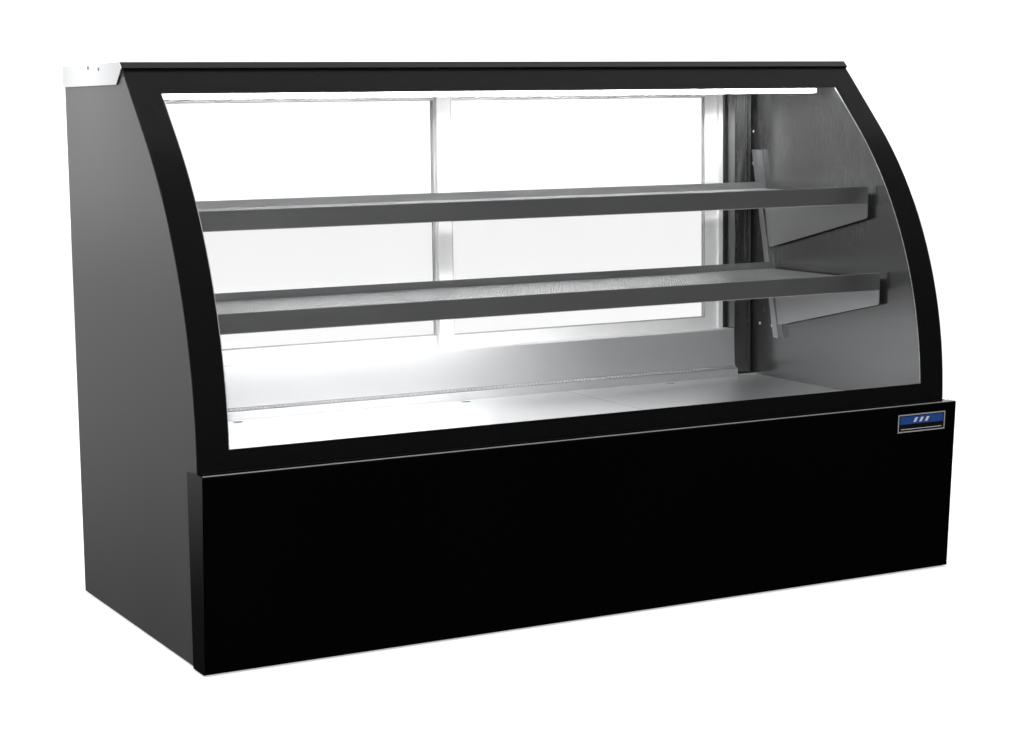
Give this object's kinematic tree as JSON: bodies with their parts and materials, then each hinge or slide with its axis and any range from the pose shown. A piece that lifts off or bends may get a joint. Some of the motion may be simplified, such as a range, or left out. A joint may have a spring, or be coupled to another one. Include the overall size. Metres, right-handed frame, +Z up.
{
  "type": "refrigerated deli case",
  "caption": "Floor-standing refrigerated display case with a bent front glass, perforated shelves, lit interior and sliding rear doors.",
  "frame": {"origin": "middle of the footprint, on the floor under the feet", "axes": "+X along the length towards the customer's right, -Y towards the customer, +Z up"},
  "size_m": [1.867, 0.8538, 1.206],
  "materials": {
    "gloss_black_steel": "gloss",
    "graphite_end_steel": "satin",
    "bright_stainless": "satin",
    "liner_stainless": "polished",
    "deck_stainless": "satin",
    "shelf_steel": "satin",
    "front_glass": "clear, black ceramic border",
    "door_glass": "clear",
    "door_aluminium": "anodised",
    "insulation_foam": "matte",
    "black_rubber": "matte",
    "lamp_lens": "diffusing",
    "galvanised_steel": "spangled",
    "coil_fins": "finned",
    "copper_line": "drawn",
    "compressor_paint": "satin",
    "black_plastic": "satin",
    "badge_plate": "gloss",
    "pan_plastic": "matte",
    "zinc_plate": "zinc"
  },
  "bodies": {
    "cabinet": {"front_panel": "gloss_black_steel", "top_front_rail": "gloss_black_steel", "end_panel_left": "graphite_end_steel", "end_panel_right": "graphite_end_steel", "end_trims": "graphite_end_steel", "top_panel": "bright_stainless", "end_liners": "liner_stainless", "tub_liner": "liner_stainless", "ceiling_liner": "liner_stainless", "rear_pillars": "liner_stainless", "rear_duct_panel": "deck_stainless", "shelf_standards": "shelf_steel", "front_glass": "front_glass", "door_tracks": "door_aluminium", "glass_channel": "door_aluminium", "lamp_housing": "door_aluminium", "end_insulation": "insulation_foam", "tub_insulation": "insulation_foam", "top_insulation": "insulation_foam", "glass_gasket": "black_rubber", "compressor_mounts": "black_rubber", "lamp_lens": "lamp_lens", "base_frame": "galvanised_steel", "base_pan": "galvanised_steel", "evaporator_fan_plate": "galvanised_steel", "condenser_shroud": "galvanised_steel", "rear_skin": "galvanised_steel", "rear_grille": "galvanised_steel", "evaporator_coil": "coil_fins", "condenser_coil": "coil_fins", "refrigerant_pipes": "copper_line", "compressor": "compressor_paint", "fan_motors": "compressor_paint", "control_panel": "black_plastic", "power_inlet": "black_plastic", "badge": "badge_plate", "drain_and_pan": "pan_plastic", "screws": "zinc_plate"},
    "rear_door_left": {"rear_door_left_frame": "door_aluminium", "rear_door_left_pane": "door_glass"},
    "rear_door_right": {"rear_door_right_frame": "door_aluminium", "rear_door_right_pane": "door_glass"},
    "upper_shelf": {"upper_shelf_frame": "shelf_steel", "upper_shelf_trays": "shelf_steel", "upper_shelf_brackets": "shelf_steel"},
    "lower_shelf": {"lower_shelf_frame": "shelf_steel", "lower_shelf_trays": "shelf_steel", "lower_shelf_brackets": "shelf_steel"},
    "deck_pan_left": {"deck_pan_left": "deck_stainless"},
    "deck_pan_middle": {"deck_pan_middle": "deck_stainless"},
    "deck_pan_right": {"deck_pan_right": "deck_stainless"},
    "evaporator_fan_left": {"evaporator_fan_left": "black_plastic"},
    "evaporator_fan_right": {"evaporator_fan_right": "black_plastic"},
    "condenser_fan": {"condenser_fan": "black_plastic"},
    "power_switch": {"power_switch": "black_plastic"},
    "light_switch": {"light_switch": "black_plastic"},
    "foot_front_left": {"levelling_foot_front_left": "zinc_plate"},
    "foot_front_right": {"levelling_foot_front_right": "zinc_plate"},
    "foot_rear_left": {"levelling_foot_rear_left": "zinc_plate"},
    "foot_rear_right": {"levelling_foot_rear_right": "zinc_plate"}
  },
  "joints": [
    {"name": "rear_door_left_slide", "type": "slide", "parent": "cabinet", "child": "rear_door_left", "axis": [1, 0, 0], "range_m": [0, 0.78]},
    {"name": "rear_door_right_slide", "type": "slide", "parent": "cabinet", "child": "rear_door_right", "axis": [-1, 0, 0], "range_m": [0, 0.78]},
    {"name": "upper_shelf_lift", "type": "slide", "parent": "cabinet", "child": "upper_shelf", "axis": [0, 0.2011, 0.9796], "range_m": [0, 0.01]},
    {"name": "lower_shelf_lift", "type": "slide", "parent": "cabinet", "child": "lower_shelf", "axis": [0, 0.2011, 0.9796], "range_m": [0, 0.01]},
    {"name": "deck_pan_left_lift", "type": "slide", "parent": "cabinet", "child": "deck_pan_left", "axis": [0, 0, 1], "range_m": [0, 0.1]},
    {"name": "deck_pan_middle_lift", "type": "slide", "parent": "cabinet", "child": "deck_pan_middle", "axis": [0, 0, 1], "range_m": [0, 0.1]},
    {"name": "deck_pan_right_lift", "type": "slide", "parent": "cabinet", "child": "deck_pan_right", "axis": [0, 0, 1], "range_m": [0, 0.1]},
    {"name": "evaporator_fan_left_spin", "type": "hinge", "parent": "cabinet", "child": "evaporator_fan_left", "pos_m": [-0.3, 0.085, 0.32], "axis": [0, 1, 0], "continuous": true},
    {"name": "evaporator_fan_right_spin", "type": "hinge", "parent": "cabinet", "child": "evaporator_fan_right", "pos_m": [0.3, 0.085, 0.32], "axis": [0, 1, 0], "continuous": true},
    {"name": "condenser_fan_spin", "type": "hinge", "parent": "cabinet", "child": "condenser_fan", "pos_m": [0.46, 0.331, 0.136], "axis": [0, 1, 0], "continuous": true},
    {"name": "power_switch_rock", "type": "hinge", "parent": "cabinet", "child": "power_switch", "pos_m": [-0.762, 0.41575, 0.175], "axis": [1, 0, 0], "range_deg": [0, 16]},
    {"name": "light_switch_rock", "type": "hinge", "parent": "cabinet", "child": "light_switch", "pos_m": [-0.738, 0.41575, 0.175], "axis": [1, 0, 0], "range_deg": [0, 16]},
    {"name": "foot_front_left_turn", "type": "hinge", "parent": "cabinet", "child": "foot_front_left", "pos_m": [-0.8735, -0.357, 0.03], "axis": [0, 0, 1], "continuous": true},
    {"name": "foot_front_right_turn", "type": "hinge", "parent": "cabinet", "child": "foot_front_right", "pos_m": [0.8735, -0.357, 0.03], "axis": [0, 0, 1], "continuous": true},
    {"name": "foot_rear_left_turn", "type": "hinge", "parent": "cabinet", "child": "foot_rear_left", "pos_m": [-0.8735, 0.393, 0.03], "axis": [0, 0, 1], "continuous": true},
    {"name": "foot_rear_right_turn", "type": "hinge", "parent": "cabinet", "child": "foot_rear_right", "pos_m": [0.8735, 0.393, 0.03], "axis": [0, 0, 1], "continuous": true}
  ]
}
